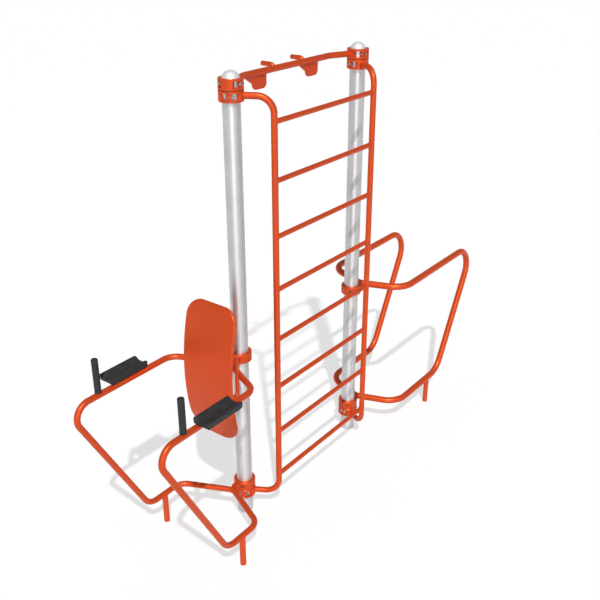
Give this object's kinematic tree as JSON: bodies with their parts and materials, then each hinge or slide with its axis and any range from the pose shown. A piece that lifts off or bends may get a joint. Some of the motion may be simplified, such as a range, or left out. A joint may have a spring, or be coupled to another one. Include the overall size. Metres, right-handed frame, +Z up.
{
  "type": "outdoor fitness station",
  "caption": "Static outdoor fitness station with a climbing ladder and pull-up bar between its posts, a padded knee raise stand on one side and a dip stand on the other.",
  "frame": {"origin": "on the ground, midway between the axes of the two posts", "axes": "+X runs along the row of posts towards the dip stand, +Y points away from the ladder to the side of the pull-up bar, +Z is up"},
  "size_m": [3.087, 0.7556, 2.5587],
  "materials": {
    "orange_paint": "satin powder coat",
    "post_steel": "satin",
    "white_cap": "gloss",
    "black_rubber": "matte",
    "fastener_steel": "satin",
    "plate_paint": "satin"
  },
  "bodies": {
    "root": {"arm_pad_back": "black_rubber", "arm_pad_front": "black_rubber", "arm_pad_plate_back": "plate_paint", "arm_pad_plate_front": "plate_paint", "arm_pad_screws": "fastener_steel", "backrest": "orange_paint", "backrest_rod_back": "orange_paint", "backrest_rod_front": "orange_paint", "bar_clamp_left": "orange_paint", "bar_clamp_right": "orange_paint", "bar_collar_left": "orange_paint", "bar_collar_right": "orange_paint", "bar_peg_left": "orange_paint", "bar_peg_right": "orange_paint", "clamp_bolts": "fastener_steel", "clamp_nuts": "fastener_steel", "dip_frame_back": "orange_paint", "dip_frame_front": "orange_paint", "dip_leg_back": "orange_paint", "dip_leg_front": "orange_paint", "dip_low_collar_back": "orange_paint", "dip_low_collar_front": "orange_paint", "dip_top_collar_back": "orange_paint", "dip_top_collar_front": "orange_paint", "hand_grip_back": "black_rubber", "hand_grip_front": "black_rubber", "hanger_plate_left": "orange_paint", "hanger_plate_right": "orange_paint", "knee_frame_back": "orange_paint", "knee_frame_front": "orange_paint", "knee_leg_back": "orange_paint", "knee_leg_front": "orange_paint", "knee_low_collar_back": "orange_paint", "knee_low_collar_front": "orange_paint", "knee_top_collar_back": "orange_paint", "knee_top_collar_front": "orange_paint", "ladder_low_clamp_left": "orange_paint", "ladder_low_clamp_right": "orange_paint", "ladder_low_collar_left": "orange_paint", "ladder_low_collar_right": "orange_paint", "ladder_rung_1": "orange_paint", "ladder_rung_2": "orange_paint", "ladder_rung_3": "orange_paint", "ladder_rung_4": "orange_paint", "ladder_rung_5": "orange_paint", "ladder_rung_6": "orange_paint", "ladder_rung_7": "orange_paint", "ladder_rung_8": "orange_paint", "ladder_top_clamp_left": "orange_paint", "ladder_top_clamp_right": "orange_paint", "ladder_top_collar_left": "orange_paint", "ladder_top_collar_right": "orange_paint", "ladder_upright_left": "orange_paint", "ladder_upright_right": "orange_paint", "post_cap_left": "white_cap", "post_cap_right": "white_cap", "post_left": "post_steel", "post_right": "post_steel", "pull_up_bar": "orange_paint"}
  },
  "joints": []
}
